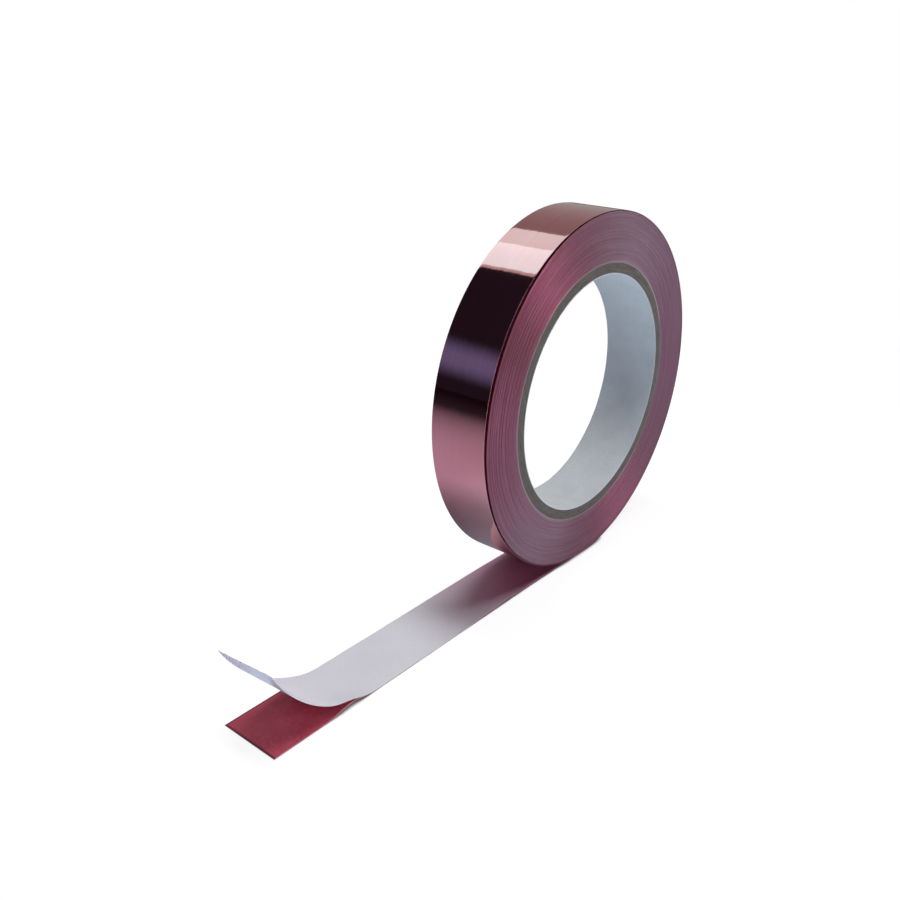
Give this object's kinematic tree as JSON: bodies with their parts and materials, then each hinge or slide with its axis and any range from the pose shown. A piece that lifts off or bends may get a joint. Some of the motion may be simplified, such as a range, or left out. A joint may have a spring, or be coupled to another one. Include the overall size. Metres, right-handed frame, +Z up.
{
  "type": "copper foil tape roll",
  "caption": "Roll of adhesive copper foil tape on a paperboard core, standing on its edge with a length drawn off and its white liner peeled back at the end.",
  "frame": {"origin": "middle of the core, on its axis, halfway across the tape's width", "axes": "+Y along the axis of the core, +Z up as the roll stands on its edge, and the drawn-off tape runs from the bottom of the roll towards -X"},
  "size_m": [0.1928, 0.0196, 0.1147],
  "materials": {
    "copper_foil": "bright rolled copper, mirror-like with fine lengthwise rolling lines",
    "adhesive": "clear acrylic adhesive over the red-brown back of the foil",
    "release_liner": "silicone-coated white paper, semi-gloss",
    "wound_tape": "edges of many turns of copper foil and liner",
    "chipboard": "grey-brown spiral-wound chipboard",
    "bore_paper": "smooth white paper",
    "core_wrap_paper": "thin pale paper",
    "tab_paper": "gummed paper strip"
  },
  "bodies": {
    "roll": {"core_inner_paper": "bore_paper", "core_ply_1": "chipboard", "core_ply_2": "chipboard", "core_ply_3": "chipboard", "core_ply_4": "chipboard", "core_ply_5": "chipboard", "core_ply_6": "chipboard", "core_outer_paper": "core_wrap_paper", "start_tab": "tab_paper", "wound_turns_001_021": "wound_tape", "wound_turns_022_042": "wound_tape", "wound_turns_043_063": "wound_tape", "wound_turns_064_084": "wound_tape", "wound_turns_085_105": "wound_tape"},
    "last_turn": {"outer_turn_foil": "copper_foil", "outer_turn_liner": "release_liner", "lead_foil": "copper_foil", "lead_adhesive": "adhesive", "lead_liner": "release_liner"},
    "tail": {"tail_foil": "copper_foil", "tail_adhesive": "adhesive", "tail_liner": "release_liner"},
    "peeled_liner": {"liner_flap": "release_liner"}
  },
  "joints": [
    {"name": "roll_turn", "type": "hinge", "parent": "roll", "child": "last_turn", "pos_m": [0, 0, 0], "axis": [0, 1, 0], "continuous": true},
    {"name": "tail_lift", "type": "hinge", "parent": "last_turn", "child": "tail", "pos_m": [-0.03, 0, -0.05735], "axis": [0, 1, 0], "range_deg": [0, 40]},
    {"name": "liner_peel", "type": "hinge", "parent": "tail", "child": "peeled_liner", "pos_m": [-0.1024, 0, -0.05729], "axis": [0, 1, 0], "range_deg": [0, 60]}
  ]
}
